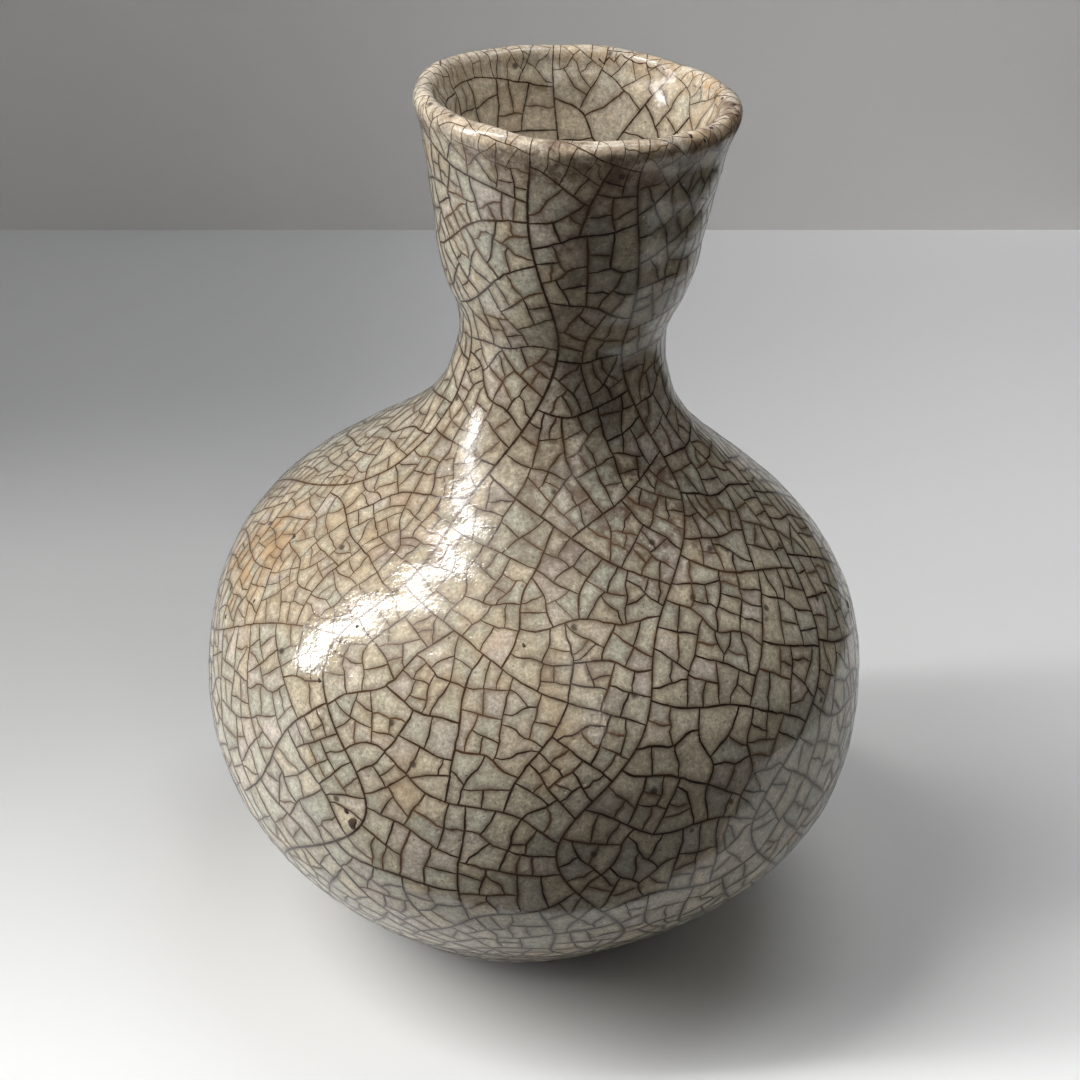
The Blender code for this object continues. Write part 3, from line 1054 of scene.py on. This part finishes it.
def plain_stage(name, colour, roughness):
    """A plain surface that is clear from behind, so that it hides the object from no side."""
    n = Nodes(name)
    n.shader.inputs["Base Color"].default_value = (*colour, 1.0)
    n.shader.inputs["Roughness"].default_value = roughness
    tree = n.material.node_tree
    output = next(node for node in tree.nodes if node.type == "OUTPUT_MATERIAL")
    clear, sides, which = (
        tree.nodes.new("ShaderNode" + kind) for kind in ("BsdfTransparent", "MixShader", "NewGeometry")
    )
    tree.links.new(which.outputs["Backfacing"], sides.inputs[0])
    tree.links.new(n.shader.outputs[0], sides.inputs[1])
    tree.links.new(clear.outputs[0], sides.inputs[2])
    tree.links.new(sides.outputs[0], output.inputs["Surface"])
    return n.material


# ---------------------------------------------------------------- pieces

QUALITY = 1.0
OUTER_ROWS, OUTER_COLUMNS = int(236 * QUALITY), int(40 * QUALITY) * 10
LIP_ROWS = int(36 * QUALITY)
INNER_ROWS = int(110 * QUALITY)


def make_glaze():
    network = crackle(7)
    network[1].append(rim_hairline())
    tree = crack_tree(network[1])
    glaze = glaze_material("crackle_glaze")
    lines = crack_material("crack_stain")
    fine = OUTER_COLUMNS
    coats = (
        ("outer_glaze_coat", 0.0, LIP_START, OUTER_ROWS, fine, 0.6, "crackle_glaze", "outer_glaze"),
        ("lip_glaze_roll", LIP_START, LIP_END, LIP_ROWS, fine, 0.5, "stained_lip_glaze", "lip_ring"),
        ("inner_glaze_coat", LIP_END, END, INNER_ROWS, fine // 2, 0.5, "inner_crackle_glaze", "inner_glaze"),
    )
    for seed, (name, start, end, rows, columns, thickness, slot, node) in enumerate(coats):
        glaze_coat(name, start, end, rows, columns, thickness, network, tree, glaze, slot, node)
        reach = min(end, THROAT + 30)
        crack_lines(name + "_cracks", network[1], start, reach, lines, slot, seed)


def make_clay():
    clay = clay_material("stoneware_clay", (0.20, 0.15, 0.11), (0.32, 0.26, 0.19))
    for name in ("bulb_body", "neck"):
        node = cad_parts[name]
        for i in range(len(node.material_slots)):
            node.material_slots[i].link = "OBJECT"
            node.material_slots[i].material = clay
    iron_spots(spot_material("iron_spots"), "crackle_glaze")
    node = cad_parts["base_glaze"]
    for held in node.material_slots:
        held.link = "OBJECT"
        held.material = base_material("base_crackle_glaze")
    foot = clay_material("bare_foot_clay", (0.050, 0.026, 0.018), (0.115, 0.060, 0.038))
    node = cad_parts["foot_ring"]
    node.material_slots[0].link = "OBJECT"
    node.material_slots[0].material = foot


# ---------------------------------------------------------------- stage and light


def card(name, size, place, turned, material):
    bpy.ops.mesh.primitive_plane_add(size=1.0, location=place, rotation=turned)
    item = bpy.context.object
    item.name = name
    item.scale = (*size, 1.0)
    item.data.materials.append(material)
    return item


FLOOR, WALL, DARK = (0.80, 0.81, 0.815), (0.86, 0.845, 0.83), (0.06, 0.055, 0.05)
UPRIGHT = math.pi / 2
# What shades the photograph's room: name, size, place and turn.
SHADES = (
    ("window_frame", (0.17, 1.4), (-0.35, 0.1325, 0.7), (UPRIGHT, 0.0, UPRIGHT)),
    ("shelf_above", (0.48, 0.42), (-0.36, 0.19, 0.33), (math.pi, 0.0, 0.0)),
    ("table_in_front", (1.6, 1.0), (0.0, -0.545, 0.0005), (0.0, 0.0, 0.0)),
)
# name, place, aim, size in metres, watts, colour
LAMPS = (
    ("window", (-0.80, -0.08, 0.74), (0.0, 0.0, 0.06), (0.14, 1.40), 18.5, (1.0, 0.99, 0.975)),
    ("ceiling", (-0.62, -0.14, 1.02), (0.0, 0.0, 0.05), (0.7, 0.7), 2.6, (1.0, 0.99, 0.98)),
    ("far_strip", (0.22, -0.55, 0.62), (0.0, 0.0, 0.05), (0.012, 0.9), 0.60, (1.0, 0.96, 0.91)),
    ("wall_wash", (0.12, 0.06, 0.40), (0.07, WALL_AT, 0.02), (0.25, 0.10), 0.42, (0.98, 0.99, 1.0)),
)
ROOM_TINT, ROOM_LIGHT = (0.86, 0.93, 1.0), 0.02
ROOM_SEEN = (0.33, 0.33, 0.33)


def make_stage():
    pale = plain_stage("floor", FLOOR, 0.5)
    wall = plain_stage("backdrop", WALL, 0.8)
    card("floor", (0.63, 0.32), (-0.185, 0.115, 0.0), (0.0, 0.0, 0.0), pale)
    card("backdrop", (0.63, 0.5), (-0.185, WALL_AT, 0.25), (UPRIGHT, 0.0, 0.0), wall)
    beyond = card("floor_beyond", (6.0, 6.0), (0.0, 0.0, -0.001), (0.0, 0.0, 0.0), pale)
    beyond.visible_diffuse = beyond.visible_glossy = beyond.visible_shadow = False
    # The shades are felt and mirrored, and aren't in the way of any view.
    dark = plain_stage("shade", DARK, 0.8)
    for name, size, place, turned in SHADES:
        card(name, size, place, turned, dark).visible_camera = False
    bpy.data.objects["table_in_front"].visible_shadow = False


def lamp(name, place, aim, size, watts, colour):
    light = bpy.data.lights.new(name, "AREA")
    light.shape = "RECTANGLE"
    light.size, light.size_y = size
    light.energy = watts
    light.color = colour
    item = bpy.data.objects.new(name, light)
    stage_scene.collection.objects.link(item)
    item.location = place
    towards = [a - b for a, b in zip(aim, place)]
    flat_run = math.hypot(towards[0], towards[1])
    item.rotation_euler = (math.atan2(flat_run, -towards[2]), 0.0, math.atan2(-towards[0], towards[1]))
    return item


def make_light():
    for settings in LAMPS:
        lamp(*settings)
    world = bpy.data.worlds.new("room")
    world.use_nodes = True
    room = world.node_tree
    dim = room.nodes["Background"]
    dim.inputs["Color"].default_value = (*ROOM_TINT, 1.0)
    dim.inputs["Strength"].default_value = ROOM_LIGHT
    # The room beyond the cards is dim as light, but pale to look at.
    kinds = ("LightPath", "Background", "MixShader")
    rays, pale, either = (room.nodes.new("ShaderNode" + kind) for kind in kinds)
    pale.inputs["Color"].default_value = (*ROOM_SEEN, 1.0)
    room.links.new(rays.outputs["Is Camera Ray"], either.inputs[0])
    room.links.new(dim.outputs[0], either.inputs[1])
    room.links.new(pale.outputs[0], either.inputs[2])
    room.links.new(either.outputs[0], room.nodes["World Output"].inputs["Surface"])
    stage_scene.world = world


make_camera()
make_glaze()
make_clay()
make_stage()
make_light()
